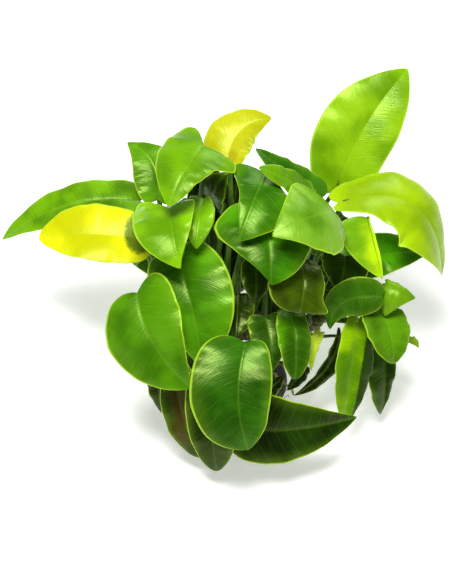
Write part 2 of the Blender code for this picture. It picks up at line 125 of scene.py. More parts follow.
@dataclass
class Skin:
    """A closed surface: places, faces, and values that finishes read."""

    places: np.ndarray
    quads: np.ndarray
    maps: dict[str, np.ndarray] = field(default_factory=dict)
    values: dict[str, np.ndarray] = field(default_factory=dict)
    slots: Optional[np.ndarray] = None

    @staticmethod
    def wrapped(places: np.ndarray, along: np.ndarray, around: np.ndarray) -> "Skin":
        """Return a tube-like skin whose two ends close in points.

        Each row of the grid is a closed loop. The first and last rows are
        drawn together into one point each, so the skin has no hole.

        Args:
            places: Rows by columns by three, the loops one after another.
            along: The map's first number for each row and column.
            around: The map's second number for each row and column.

        Returns:
            The skin, with its map named "own".
        """
        rows, columns = places.shape[:2]
        index = np.arange(rows * columns).reshape(rows, columns)
        index[0] = index[0, 0]
        index[-1] = index[-1, 0]
        after = np.roll(index, -1, axis=1)
        quads = np.stack([index[:-1], after[:-1], after[1:], index[1:]], -1).reshape(-1, 4)
        own = np.stack([along, around], -1).reshape(-1, 2)
        return Skin(places.reshape(-1, 3), quads, {"own": own})

    def joined(self, other: "Skin") -> "Skin":
        """Return both skins as one, the other's faces in the second slot."""
        count = len(self.places)
        slots = np.repeat([0, 1], [len(self.quads), len(other.quads)])
        maps = {k: np.concatenate([self.maps[k], other.maps[k]]) for k in self.maps}
        values = {k: np.concatenate([v, other.values[k]]) for k, v in self.values.items()}
        places = np.concatenate([self.places, other.places])
        quads = np.concatenate([self.quads, other.quads + count])
        return Skin(places, quads, maps, values, slots)

    def facing_out(self) -> "Skin":
        """Return the skin with its faces turned so that it holds space."""
        a, b, c, d = (self.places[self.quads[:, i]] for i in range(4))
        volume = (a * np.cross(b, c) + a * np.cross(c, d)).sum()
        if volume < 0:
            self.quads = self.quads[:, ::-1]
        return self

    def piece(self, name: str, materials: Sequence[bpy.types.Material]) -> bpy.types.Object:
        """Make the mesh object of this skin, in metres, at the origin.

        Quads that a drawn-together end has flattened become triangles, and
        places that no face uses are left out.

        Args:
            name: The object's name.
            materials: The finishes, one for each slot.

        Returns:
            The new object, linked to the scene.
        """
        quads = self.quads
        same = quads == np.roll(quads, -1, axis=1)
        whole = ~same.any(axis=1)
        ends = quads[~whole]
        tris = np.where(same[~whole][:, :1], ends[:, [0, 2, 3]], ends[:, [0, 1, 2]])
        corners = np.concatenate([quads[whole].ravel(), tris.ravel()])
        used, loops = np.unique(corners, return_inverse=True)
        sizes = np.concatenate([np.full(whole.sum(), 4), np.full(len(tris), 3)])
        starts = np.concatenate([[0], np.cumsum(sizes)[:-1]])
        mesh = bpy.data.meshes.new(name)
        mesh.vertices.add(len(used))
        mesh.vertices.foreach_set("co", (self.places[used] * MM).astype(np.float32).ravel())
        mesh.loops.add(len(loops))
        mesh.loops.foreach_set("vertex_index", loops.astype(np.int32))
        mesh.polygons.add(len(sizes))
        mesh.polygons.foreach_set("loop_start", starts.astype(np.int32))
        if self.slots is not None:
            slots = np.concatenate([self.slots[whole], self.slots[~whole]]).astype(np.int32)
            mesh.polygons.foreach_set("material_index", slots)
        mesh.update(calc_edges=True)
        mesh.validate()
        for title, values in self.maps.items():
            layer = mesh.uv_layers.new(name=title)
            layer.data.foreach_set("uv", values[used][loops].astype(np.float32).ravel())
        for title, values in self.values.items():
            layer = mesh.attributes.new(title, "FLOAT", "POINT")
            layer.data.foreach_set("value", values[used].astype(np.float32))
        for material in materials:
            mesh.materials.append(material)
        mesh.shade_smooth()
        item = bpy.data.objects.new(name, mesh)
        bpy.context.scene.collection.objects.link(item)
        return item


def tube(
    middle: np.ndarray,
    radii: np.ndarray,
    side: np.ndarray,
    around: int,
    swell: Optional[np.ndarray] = None,
) -> Skin:
    """Return a closed round skin along a path.

    Each ring lies square to the path: place = middle + radius x (side x
    cos(angle) + across x sin(angle)), with across square to the path and side.

    Args:
        middle: Rings by three, the path.
        radii: One radius for each ring, the first and last near nought.
        side: A direction that is not along the path, or one for each ring.
        around: How many places each ring has.
        swell: Optional rings by around factors of the radius.

    Returns:
        The skin, whose map is the share along and the share around.
    """
    way = unit(np.gradient(middle, axis=0))
    first = unit(side - (side * way).sum(-1, keepdims=True) * way)
    second = np.cross(way, first)
    angle = np.linspace(0, 2 * np.pi, around, endpoint=False)
    reach = radii[:, None] * (np.ones(around) if swell is None else swell)
    ring = first[:, None] * np.cos(angle)[:, None] + second[:, None] * np.sin(angle)[:, None]
    places = middle[:, None] + reach[..., None] * ring
    share = np.linspace(0, 1, len(middle))[:, None] * np.ones(around)
    turn = (angle / (2 * np.pi))[None] * np.ones((len(middle), 1))
    return Skin.wrapped(places, share, turn).facing_out()


# --------------------------------------------------------------------------
# Finishes
# --------------------------------------------------------------------------


class Number:
    """A socket that carries one number, so that shader maths reads as maths."""

    def __init__(self, recipe: "Recipe", socket: bpy.types.NodeSocket) -> None:
        """Wrap a socket of a recipe's nodes."""
        self.recipe = recipe
        self.socket = socket

    def __add__(self, other: Operand) -> "Number":
        """Return self + other."""
        return self.recipe.maths("ADD", self, other)

    def __sub__(self, other: Operand) -> "Number":
        """Return self - other."""
        return self.recipe.maths("SUBTRACT", self, other)

    def __rsub__(self, other: Operand) -> "Number":
        """Return other - self."""
        return self.recipe.maths("SUBTRACT", other, self)

    def __mul__(self, other: Operand) -> "Number":
        """Return self x other."""
        return self.recipe.maths("MULTIPLY", self, other)

    __radd__ = __add__
    __rmul__ = __mul__

    def size(self) -> "Number":
        """Return the value without its sign."""
        return self.recipe.maths("ABSOLUTE", self)

    def wave(self) -> "Number":
        """Return the sine of the value."""
        return self.recipe.maths("SINE", self)

    def step(self, low: float, high: float) -> "Number":
        """Return 0 below low and 1 above high, with an S curve between."""
        node = self.recipe.node(
            "ShaderNodeMapRange",
            {"interpolation_type": "SMOOTHSTEP"},
            {"Value": self, "From Min": low, "From Max": high},
        )
        return Number(self.recipe, node.outputs[0])


class Recipe:
    """The nodes of one material, and the few kinds of step they are made of."""

    def __init__(self, name: str) -> None:
        """Start a material that holds only its output."""
        self.material = bpy.data.materials.new(name)
        self.material.use_nodes = True
        self.tree = self.material.node_tree
        self.tree.nodes.clear()
        self.places = self.node("ShaderNodeTexCoord").outputs["Object"]

    def node(
        self,
        kind: str,
        settings: Optional[dict[str, Any]] = None,
        inputs: Optional[dict[Union[str, int], Any]] = None,
    ) -> bpy.types.Node:
        """Add a node.

        Args:
            kind: The node's type.
            settings: What is set before its sockets.
            inputs: Values or links, by socket name or number.

        Returns:
            The new node.
        """
        node = self.tree.nodes.new(kind)
        for name, value in (settings or {}).items():
            setattr(node, name, value)
        for name, value in (inputs or {}).items():
            if isinstance(value, Number):
                value = value.socket
            if isinstance(value, bpy.types.NodeSocket):
                self.tree.links.new(value, node.inputs[name])
            elif isinstance(value, str):
                node.inputs[name].default_value = linear(value)
            else:
                node.inputs[name].default_value = value
        return node

    def maths(self, operation: str, *values: Operand) -> Number:
        """Return one Math node's result."""
        node = self.node("ShaderNodeMath", {"operation": operation}, dict(enumerate(values)))
        return Number(self, node.outputs[0])

    def blend(self, share: Operand, first: Any, second: Any) -> bpy.types.NodeSocket:
        """Return the colour that lies a share of the way from first to second."""
        inputs = {0: share, 6: first, 7: second}
        return self.node("ShaderNodeMix", {"data_type": "RGBA"}, inputs).outputs[2]

    def noise(
        self, scale: float, detail: float = 2.0, where: Any = None, rough: float = 0.5
    ) -> Number:
        """Return soft random mottling from 0 to 1, by default over the metres."""
        where = self.places if where is None else where
        inputs = {"Vector": where, "Scale": scale, "Detail": detail, "Roughness": rough}
        return Number(self, self.node("ShaderNodeTexNoise", inputs=inputs).outputs["Fac"])

    def cells(self, scale: float) -> Number:
        """Return how far the nearest of many scattered seeds is."""
        node = self.node("ShaderNodeTexVoronoi", inputs={"Vector": self.places, "Scale": scale})
        return Number(self, node.outputs["Distance"])

    def vector(self, x: Operand, y: Operand, z: Operand) -> bpy.types.NodeSocket:
        """Return three numbers as one vector."""
        return self.node("ShaderNodeCombineXYZ", inputs={0: x, 1: y, 2: z}).outputs[0]

    def split(self, vector: bpy.types.NodeSocket) -> tuple[Number, Number, Number]:
        """Return a vector's three numbers."""
        node = self.node("ShaderNodeSeparateXYZ", inputs={0: vector})
        return tuple(Number(self, socket) for socket in node.outputs)

    def own_map(self) -> tuple[Number, Number]:
        """Return the two numbers of the piece's own map."""
        node = self.node("ShaderNodeUVMap", {"uv_map": "own"})
        return self.split(node.outputs[0])[:2]

    def value(self, name: str) -> Number:
        """Return a value that the mesh carries under this name."""
        node = self.node("ShaderNodeAttribute", {"attribute_name": name})
        return Number(self, node.outputs["Fac"])

    def surface(
        self,
        colour: Any,
        roughness: Operand,
        height: Number,
        depth: float,
        constants: dict[str, Any],
    ) -> bpy.types.Material:
        """Finish the material with a Principled shader.

        Args:
            colour: The base colour, a code or a link.
            roughness: The roughness, a number or a link.
            height: The relief from 0 to 1.
            depth: How deep that relief is, in metres.
            constants: Values set straight on the shader's own sockets.

        Returns:
            The material.
        """
        bump = {"Strength": 1.0, "Distance": depth, "Height": height}
        relief = self.node("ShaderNodeBump", inputs=bump).outputs[0]
        inputs = {"Base Color": colour, "Roughness": roughness, "Normal": relief, **constants}
        shader = self.node("ShaderNodeBsdfPrincipled", inputs=inputs)
        self.node("ShaderNodeOutputMaterial", inputs={"Surface": shader.outputs[0]})
        return self.material


# A leaf's shine, tinted by its wax, and the light that it lets through, in metres
WET_LEAF = {
    "IOR": 1.42,
    "Specular IOR Level": 0.5,
    "Specular Tint": (0.72, 1.0, 0.25, 1.0),
    "Subsurface Weight": 0.12,
    "Subsurface Radius": (0.5, 1.0, 0.15),
    "Subsurface Scale": 0.0012,
}


@dataclass(frozen=True)
class BladeFinish:
    """A leaf blade's skin, from its colours and how much of each trait it has.

    light and dark are its two greens, rim, rib, under and patch the colours of
    its edge, veins, underside and patches; the rim colour is painted light, a
    bright edge as if the thin rim caught the lamps, and a patch is a withered
    place on some leaves and painted shade or shadow on others. gloss is its
    roughness, mottle the share of broad mottling beside fine streaks, and grain
    how fine the mottling is. veins, midrib, rim_light_share and glow are the
    shares of colour of the veins, the midrib, the painted light on the rim and
    the paler border, which is painted light as well.
    """

    light: Colour
    dark: Colour
    # Painted light: a bright edge colour, as if the thin rim caught the lamps
    rim: Colour = "#b4dc32"
    rib: Colour = "#a4cf3c"
    under: Colour = "#7fa53a"
    gloss: float = 0.2
    mottle: float = 0.7
    veins: float = 0.04
    midrib: float = 0.08
    rim_light_share: float = 0.75
    glow: float = 0.08
    patch: Colour = "#3e300a"
    grain: float = 55.0

    def material(self, name: str) -> bpy.types.Material:
        """Return the blade's material.

        The map holds millimetres along the midrib and across from it. A side
        vein leaves the midrib and leans to the tip, so "lay", the place along
        less its lean x across less its bow x across squared, is the same all
        along one vein, and everything that follows the veins reads it. Ribs
        are the crests of one sine of lay and hairs those of a finer one.
        Streaks are noise drawn out along the veins.

        Args:
            name: The material's name.

        Returns:
            The material.
        """
        mix = Recipe(name)
        along, across = mix.own_map()
        side = across.size()
        edge = mix.value("edge")
        under = mix.value("under")
        patch = mix.value("patch")
        broad = mix.noise(self.grain, 2)
        fine = mix.noise(900, 3)
        lay = along - side * VEIN_LEAN - side * side * VEIN_BOW
        lay = lay + (mix.noise(160, 1) - 0.5) * 1.6
        streak = mix.noise(1, 3, mix.vector(lay * 1.25, across * 0.16, 0.0), 0.6)
        ribs = (lay * (2 * math.pi / VEIN_GAP)).wave().step(0.72, 1.0)
        hairs = (lay * (2 * math.pi / HAIR_GAP)).wave() * 0.5 + 0.5
        midrib = 1 - side.step(0.15, 0.75)
        rim = edge.step(0.93, 0.985)

        tone = broad.step(0.3, 0.7) * self.mottle + streak * (1 - self.mottle)
        colour = mix.blend(tone.step(0.12, 0.88), self.dark, self.light)
        colour = mix.blend(ribs * (self.veins * 0.5), colour, self.rib)
        colour = mix.blend(hairs * streak * (self.veins * 0.22), colour, self.rib)
        # Painted light: the colour pales towards the edge, as if the thin border let the lamps
        # through
        colour = mix.blend(edge.step(0.55, 1.0) * self.glow, colour, self.rim)
        colour = mix.blend(midrib * self.midrib, colour, self.rib)
        colour = mix.blend(under, colour, self.under)
        # Painted light: a thin bright line along the rim, as if it caught the lamps
        colour = mix.blend(rim * self.rim_light_share, colour, self.rim)
        # The patches: withered places on some leaves, painted shade or shadow on others
        ragged = patch + (fine - 0.5) * 0.35
        colour = mix.blend(ragged.step(0.35, 0.65), colour, self.patch)

        roughness = streak * 0.24 + fine * 0.06 + under * 0.25 + patch * 0.2 + (self.gloss - 0.1)
        height = streak * 0.9 + hairs * 0.12 + ribs * 0.05 + fine * 0.25
        height = height - midrib * (1 - under) * 0.2
        return mix.surface(colour, roughness, height, 0.00012, WET_LEAF)


@dataclass(frozen=True)
class StalkFinish:
    """A leaf stalk's skin: long fibres and a pale sheath."""

    # The stalk's own greens, set darker for the plant's shaded heart: partly painted shade
    light: Colour = "#5a8418"
    dark: Colour = "#2e520c"
    sheath: Colour = "#7a7c3c"

    def material(self, name: str) -> bpy.types.Material:
        """Return the stalk's material, whose map runs along and around."""
        mix = Recipe(name)
        along, around = mix.own_map()
        turn = around * (2 * math.pi)
        fibres = (turn * 11.0 + (mix.noise(200, 2) - 0.5) * 5).wave() * 0.5 + 0.5
        broad = mix.noise(130, 2)
        colour = mix.blend(broad.step(0.35, 0.65), self.dark, self.light)
        colour = mix.blend(fibres * 0.25, colour, self.light)
        colour = mix.blend(1 - along.step(1.0, 6.0), colour, self.sheath)
        colour = mix.blend(mix.noise(700, 2).step(0.62, 0.7) * 0.35, colour, self.dark)
        height = fibres * 0.6 + broad * 0.4
        return mix.surface(colour, 0.36 + broad * 0.14, height, 0.00012, {"IOR": 1.42})


@dataclass(frozen=True)
class BarkFinish:
    """The rhizome's skin: green-brown, ringed by old leaf scars."""

    light: Colour = "#7c8a3a"
    dark: Colour = "#3c3f1a"
    scar: Colour = "#2a2412"
    speck: Colour = "#b0a868"

    def material(self, name: str) -> bpy.types.Material:
        """Return the rhizome's material, whose map runs along and around."""
        mix = Recipe(name)
        along, _ = mix.own_map()
        scars = mix.value("scar")
        broad = mix.noise(150, 3)
        specks = mix.cells(900)
        colour = mix.blend(broad.step(0.3, 0.7), self.dark, self.light)
        colour = mix.blend(scars.step(0.3, 0.9) * 0.85, colour, self.scar)
        colour = mix.blend(1 - specks.step(0.12, 0.3), colour, self.speck)
        rings = (along * 5.0 + mix.noise(90, 1) * 3).wave() * 0.5 + 0.5
        height = broad * 0.5 + rings * 0.25 + specks * 0.25
        return mix.surface(colour, 0.5 + broad * 0.2, height, 0.0004, {})


@dataclass(frozen=True)
class RootFinish:
    """A root's skin: tan where it is old, greener near its end."""

    light: Colour = "#a99a62"
    dark: Colour = "#5a4c22"
    end: Colour = "#7f8f40"

    def material(self, name: str) -> bpy.types.Material:
        """Return the root's material, whose map runs along and around."""
        mix = Recipe(name)
        along, _ = mix.own_map()
        broad = mix.noise(220, 3)
        fuzz = mix.noise(1800, 2)
        colour = mix.blend(broad.step(0.35, 0.65), self.dark, self.light)
        colour = mix.blend(along.step(0.6, 1.0) * 0.7, colour, self.end)
        colour = mix.blend(fuzz.step(0.6, 0.72) * 0.4, colour, self.dark)
        height = broad * 0.4 + fuzz * 0.6
        return mix.surface(colour, 0.62 + fuzz * 0.2, height, 0.0002, {})


@dataclass(frozen=True)
class RockFinish:
    """The stone's skin: dark porous rock with pale grains and thin algae."""

    light: Colour = "#4e4b40"
    dark: Colour = "#1c1b16"
    grains: Colour = "#7f7966"
    algae: Colour = "#3a4a18"
    pit_shade: Colour = "#14130f"

    def material(self, name: str) -> bpy.types.Material:
        """Return the stone's material."""
        mix = Recipe(name)
        broad = mix.noise(70, 4)
        grit = mix.noise(700, 4, rough=0.65)
        pits = mix.cells(330)
        low = mix.noise(45, 2)
        tone = (broad * 0.6 + grit * 0.4).step(0.35, 0.65)
        colour = mix.blend(tone, self.dark, self.light)
        colour = mix.blend(1 - mix.cells(1400).step(0.0, 0.22), colour, self.grains)
        # Painted shade: the pits are darkened where they sink in
        colour = mix.blend(1 - pits.step(0.12, 0.34), colour, self.pit_shade)
        colour = mix.blend(low.step(0.5, 0.66) * 0.6, colour, self.algae)
        height = broad * 0.3 + grit * 0.35 + pits.step(0.1, 0.4) * 0.35
        return mix.surface(colour, 0.72 + grit * 0.22, height, 0.0009, {})


@dataclass(frozen=True)
class FloorFinish:
    """The floor's plain pale sheet, lit softly from below like a light table."""

    tint: Colour = "#f7f7f5"
    fleck: Colour = "#f2f2ef"
    glow: float = 0.4

    def material(self, name: str) -> bpy.types.Material:
        """Return the floor's material."""
        mix = Recipe(name)
        tooth = mix.noise(400, 2)
        colour = mix.blend(tooth * 0.3, self.tint, self.fleck)
        lit = {"Emission Color": WHITE, "Emission Strength": self.glow}
        return mix.surface(colour, 0.9, tooth, 0.00002, lit)


# --------------------------------------------------------------------------
# Leaves
# --------------------------------------------------------------------------


EVEN: Five = (1, 1, 1, 1, 1)


class Slot(Enum):
    """The record's names for the finishes."""

    STONE = "stone"
    RHIZOME = "rhizome"
    ROOT = "root"
    FRESH = "leaf_fresh"
    LIME = "leaf_lime"
    DEEP = "leaf_deep"
    OLIVE = "leaf_olive"
    YELLOW = "leaf_yellow"


def settle(piece: bpy.types.Object, slot: Slot, *nodes: str) -> bpy.types.Object:
    """Let a piece ride on the root body and hide the frame's parts that it stands for."""
    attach(piece, "root")
    if nodes:
        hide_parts(*nodes)
    return piece


@dataclass(frozen=True)
class WitherOrShade:
    """A patch of a blade, a soft oval in its own map: a dead or faded place on some leaves,
    painted shade or shadow on others.

    along and across are the oval's middle as shares of the length and of the
    half width, long and wide its half sizes in the same shares.
    """

    along: float
    across: float
    long: float
    wide: float
    strength: float = 1.0

    def spread(self, along: np.ndarray, across: np.ndarray) -> np.ndarray:
        """Return how strong the patch is at each place: 1 - squared distance in oval sizes."""
        far = ((along - self.along) / self.long) ** 2
        far = far + ((across - self.across) / self.wide) ** 2
        return np.clip(1 - far, 0, 1) ** 0.6 * self.strength


@dataclass(frozen=True)
class Leaf:
    """One leaf: a heart-shaped blade on a stalk, sizes in mm and degrees.

    foot is the branch it grows from, the share of the way along it and the
    angle from its top. arch lifts the middle of the midrib and side bends it
    to the left. roll turns the blade about its chord, fold raises its halves
    and cup lowers its edges. lean widens the right half. tapers shapes the
    right and left edge towards the tip, and lobes pulls them back beside the
    stalk. edges scales the right and left half width at five places. first
    and second place the stalk's inner control points. ripple is the height of
    the waves along the edges and waves how many there are. The groove over the
    midrib, the keel under it and the quilting between veins are heights.
    """

    name: str
    base: Triple
    tip: Triple
    width: float
    slot: Slot
    finish: BladeFinish
    foot: tuple[str, float, float]
    arch: float = 4.0
    side: float = 0.0
    roll: float = 0.0
    fold: float = 10.0
    cup: float = 0.12
    lean: float = 0.0
    taper: float = 0.62
    tapers: Optional[tuple[float, float]] = None
    lobes: tuple[float, float] = (0.25, 0.25)
    edges: tuple[Five, Five] = (EVEN, EVEN)
    first: Optional[Triple] = None
    second: Optional[Triple] = None
    ripple: float = 0.5
    waves: float = 3.0
    wither_or_shade: tuple[WitherOrShade, ...] = ()
    stalk: StalkFinish = StalkFinish()

    edge_places: ClassVar[np.ndarray] = np.array((0.1, 0.3, 0.5, 0.7, 0.9))
    edge_spread: ClassVar[float] = 0.13
    thickness: ClassVar[float] = 0.8
    midrib_width: ClassVar[float] = 0.7
    groove: ClassVar[float] = 0.12
    keel: ClassVar[float] = 0.6
    quilt: ClassVar[float] = 0.007
    foot_radius: ClassVar[float] = 1.25
    neck_radius: ClassVar[float] = 0.9
    stalk_gap: ClassVar[float] = 0.7
    stalk_rings: ClassVar[int] = 40
    stalk_around: ClassVar[int] = 14
    foot_pull: ClassVar[float] = 0.4
    neck_pull: ClassVar[float] = 0.3
    sheath: ClassVar[float] = 0.45
    collar: ClassVar[float] = 0.16

    def axes(self) -> tuple[float, np.ndarray, np.ndarray, np.ndarray]:
        """Return the blade's length and its forward, left and up directions."""
        base, tip = np.array(self.base, float), np.array(self.tip, float)
        length = float(np.linalg.norm(tip - base))
        forward = (tip - base) / length
        outward = 0.5 * unit((base + tip) / 2 - np.array(PLANT_HEART)) + np.array(OPEN_SIDE)
        up = unit(outward - outward.dot(forward) * forward)
        roll = math.radians(self.roll)
        up = up * math.cos(roll) + np.cross(forward, up) * math.sin(roll)
        return length, forward, np.cross(up, forward), up

    def chance(self) -> np.random.Generator:
        """Return this leaf's own seeded random numbers."""
        seed = sum(ord(letter) * place for place, letter in enumerate(self.name, 1))
        return np.random.default_rng(seed)

    def sheet(self, turn: np.ndarray, across: np.ndarray) -> tuple[np.ndarray, ...]:
        """Return the blade's middle surface.

        The half width follows the sine of turn. With half = (1 + cos turn) / 2
        the midrib has gone 1 - half^taper of the way and an edge the same less
        lobe x sin turn x half squared. The midrib is a parabola over the chord.
        The half width is scaled at five places along, with soft bell weights.
        The halves rise by the sine of fold and fall by cup x reach squared,
        and the edges wave by ripple x across squared.

        Args:
            turn: A column, 0 at the base to pi at the tip.
            across: A row, -1 at the right edge to 1 at the left edge.

        Returns:
            Places, the share along and the reach across in millimetres.
        """
        length, forward, left, up = self.axes()
        far = np.abs(across)
        hand = across > 0
        right, other = self.tapers or (self.taper, self.taper)
        half = (1 + np.cos(turn)) / 2
        taper = np.where(hand, other, right)
        lobe = np.where(hand, self.lobes[1], self.lobes[0])
        edge = 1 - half**taper - lobe * np.sin(turn) * half**2
        along = (1 - far) * (1 - half**self.taper) + far * edge
        inside = np.maximum(along, 0)
        bend = self.arch * up + self.side * left
        place = np.array(self.base) + length * along[..., None] * forward
        lift = 4 * inside * (1 - inside) + 4 * np.minimum(along, 0)
        place = place + lift[..., None] * bend
        midrib = unit(length * forward + 4 * (1 - 2 * inside)[..., None] * bend)
        level = unit(left - (midrib @ left)[..., None] * midrib)
        raised = np.cross(midrib, level)
        lean = np.where(hand, 1 - self.lean, 1 + self.lean)
        near = np.exp(-(((turn / np.pi - self.edge_places) / self.edge_spread) ** 2))
        scales = (near @ np.array(self.edges).T) / near.sum(axis=1, keepdims=True)
        scale = np.where(hand, scales[:, 1:], scales[:, :1]) * lean
        reach = self.width / 2 * scale * np.sin(turn) * across
        fold = math.radians(self.fold)
        rise = np.abs(reach) * math.sin(fold) - self.cup * reach**2 / (self.width / 2)
        start = self.chance().uniform(0, 6.28, 4)
        beat = 2 * np.pi * self.waves * along
        left_wave = np.sin(beat + start[0]) + 0.5 * np.sin(beat * 2.3 + start[2])
        right_wave = np.sin(beat * 1.17 + start[1]) + 0.5 * np.sin(beat * 2.1 + start[3])
        waves = np.where(hand, left_wave, right_wave)
        rise = rise + self.ripple * waves * far**2 * np.sin(turn)
        place = place + (reach * math.cos(fold))[..., None] * level
        return place + rise[..., None] * raised, along, reach

    def blade(self) -> Skin:
        """Return the blade as one closed skin with a rounded rim.

        Each row is a loop over the top and back along the underside. The top
        stands half a thickness x sqrt(1 - across^4) above the middle surface,
        sinks in a groove exp(-(reach / midrib width)^2) over the midrib and
        quilts between its side veins; the underside carries the midrib as a
        keel that thins to the tip.

        Returns:
            The skin, with its edge, underside and patches as values; a patch is a withered place
            on some leaves and painted shade on others.
        """
        length = self.axes()[0]
        rows = int(np.clip(length * 1.5, 28, 84))
        columns = int(np.clip(self.width * 1.6, 15, 51)) // 2 * 2 + 1
        turn = np.linspace(0, np.pi, rows)[:, None]
        spread = np.linspace(-1, 1, columns)
        across = (0.6 * spread + 0.4 * np.sin(spread * np.pi / 2))[None]
        places, along, reach = self.sheet(turn, across)
        across = across * np.ones_like(turn)
        sweep, span = np.gradient(places, axis=0), np.gradient(places, axis=1)
        normal = unit(np.cross(sweep, span))
        normal[0], normal[-1] = normal[1], normal[-2]
        middle = normal[rows // 2, columns // 2]
        if middle @ self.axes()[3] < 0:
            normal = -normal
        body = self.thickness / 2 * np.sqrt(1 - across**4) * (1 - np.cos(turn) ** 8) ** 0.5
        close = np.exp(-((reach / self.midrib_width) ** 2)) * np.sin(turn) ** 0.5
        lay = along * length - np.abs(reach) * VEIN_LEAN - reach**2 * VEIN_BOW
        quilt = self.quilt * np.sin(lay * 2 * np.pi / VEIN_GAP)
        quilt = quilt * np.sin(turn) * (1 - across**8)
        top = body + quilt - self.groove * close
        low = body - quilt + self.keel * close * (1.05 - along)
        upper = places + normal * top[..., None]
        under = places - normal * low[..., None]
        back = slice(columns - 2, 0, -1)

        def loop(first: np.ndarray, second: Optional[np.ndarray] = None) -> np.ndarray:
            """Return the top's rows run on by the underside's, the top's own if none."""
            second = first if second is None else second
            return np.concatenate([first, second[:, back]], axis=1)

        skin = Skin.wrapped(loop(upper, under), loop(along * length), loop(reach))
        flat = np.zeros_like(along)
        wither_or_shade_amount = sum((spot.spread(along, across) for spot in self.wither_or_shade), flat)
        skin.values = {
            "edge": loop(np.abs(across)).ravel(),
            "under": loop(flat, flat + 1).ravel(),
            "patch": loop(wither_or_shade_amount).ravel(),
        }
        return skin.facing_out()

    def stalk_path(self) -> tuple[np.ndarray, ...]:
        """Return the stalk's four control points, then three unit directions.

        The foot stands on the branch, turned from its top by the foot's angle.
        The two inner points follow the way the foot and the blade face, unless
        the leaf places them itself.

        Returns:
            The four points, the way the foot faces, the way the midrib sets
            off, and the way up from it.
        """
        branch, share, lean = self.foot
        points, radius = RHIZOME[branch]
        way = bezier_way(points, np.array(share))
        top = unit(np.array((0, 0, 1.0)) - way[2] * way)
        lean = math.radians(lean)
        outward = top * math.cos(lean) + np.cross(way, top) * math.sin(lean)
        start = bezier(points, np.array(share)) + outward * (radius + self.stalk_gap)
        length, forward, left, up = self.axes()
        midrib = unit(length * forward + 4 * (self.arch * up + self.side * left))
        under = unit(up - up.dot(midrib) * midrib)
        end = np.array(self.base) + 0.05 * length * midrib - 0.4 * under
        reach = np.linalg.norm(end - start)
        first = start + unit(outward + np.array((0, 0, 0.6))) * self.foot_pull * reach
        second = end - unit(0.5 * midrib + 0.9 * under) * self.neck_pull * reach
        if self.first is not None:
            first = np.array(self.first, float)
        if self.second is not None:
            second = np.array(self.second, float)
        return start, first, second, end, outward, midrib, under

    def stalk_skin(self) -> Skin:
        """Return the stalk: a sheathed foot, a slender middle and a thicker neck.

        The radius falls evenly from foot to neck; a sheath adds its share x
        exp(-(share / 0.09)^2) and a collar its own x exp(-((share - 0.93) /
        0.05)^2). The foot starts inside the rhizome, and the far end runs on
        under the midrib and narrows away.

        Returns:
            The skin, whose map starts with the millimetres from the foot.
        """
        start, first, second, end, outward, midrib, under = self.stalk_path()
        share = np.linspace(0, 1, self.stalk_rings)
        path = bezier((start, first, second, end), share)
        foot = start - outward * np.linspace(1.6, 0.4, 4)[:, None]
        length = self.axes()[0]
        more = np.linspace(0.02, 0.16, 6)[:, None] * length
        tail = end + more * midrib - under * 0.02 * more
        path = np.concatenate([foot, path, tail])
        slim = min(1.0, 0.5 + self.width / 30)
        radii = slim * (self.foot_radius - (self.foot_radius - self.neck_radius) * share)
        radii = radii * (1 + self.sheath * np.exp(-((share / 0.09) ** 2)))
        radii = radii * (1 + self.collar * np.exp(-(((share - 0.93) / 0.05) ** 2)))
        ends = slim * np.array((0.05, 1.2, 1.6, 1.75))
        taper = radii[-1] * np.array((0.8, 0.62, 0.46, 0.32, 0.18, 0.02))
        radii = np.concatenate([ends, radii, taper])
        side = np.cross(unit(end - start), unit(np.array((0.31, 0.17, 0.94))))
        skin = tube(path, radii, np.broadcast_to(side, path.shape), self.stalk_around)
        steps = np.linalg.norm(np.diff(path, axis=0), axis=1)
        far = np.concatenate([[0], np.cumsum(steps)])
        skin.maps["own"][:, 0] = np.repeat(far, self.stalk_around)
        blank = np.zeros(len(skin.places))
        skin.values = {"edge": blank, "under": blank, "patch": blank}
        return skin

    def build(self, solid: bool = True) -> bpy.types.Object:
        """Make the leaf's piece: the blade and its stalk, each dressed.

        Args:
            solid: Whether this leaf stands for a node of the frame.

        Returns:
            The leaf's object.
        """
        title = self.name.removeprefix("leaf_")
        skin = self.blade().joined(self.stalk_skin())
        materials = [
            self.finish.material(f"{title}_blade_skin"),
            self.stalk.material(f"{title}_stalk_skin"),
        ]
        nodes = (self.name,) if solid else ()
        return settle(skin.piece(f"{title}_leaf", materials), self.slot, *nodes)


# --------------------------------------------------------------------------
# Stone, rhizome and roots
# --------------------------------------------------------------------------


def bearing_way(fall: np.ndarray, turn: np.ndarray) -> np.ndarray:
    """Return unit directions from their falls from the top and their bearings."""
    level = np.sin(fall)
    return np.stack([level * np.cos(turn), level * np.sin(turn), np.cos(fall) + 0 * turn], -1)


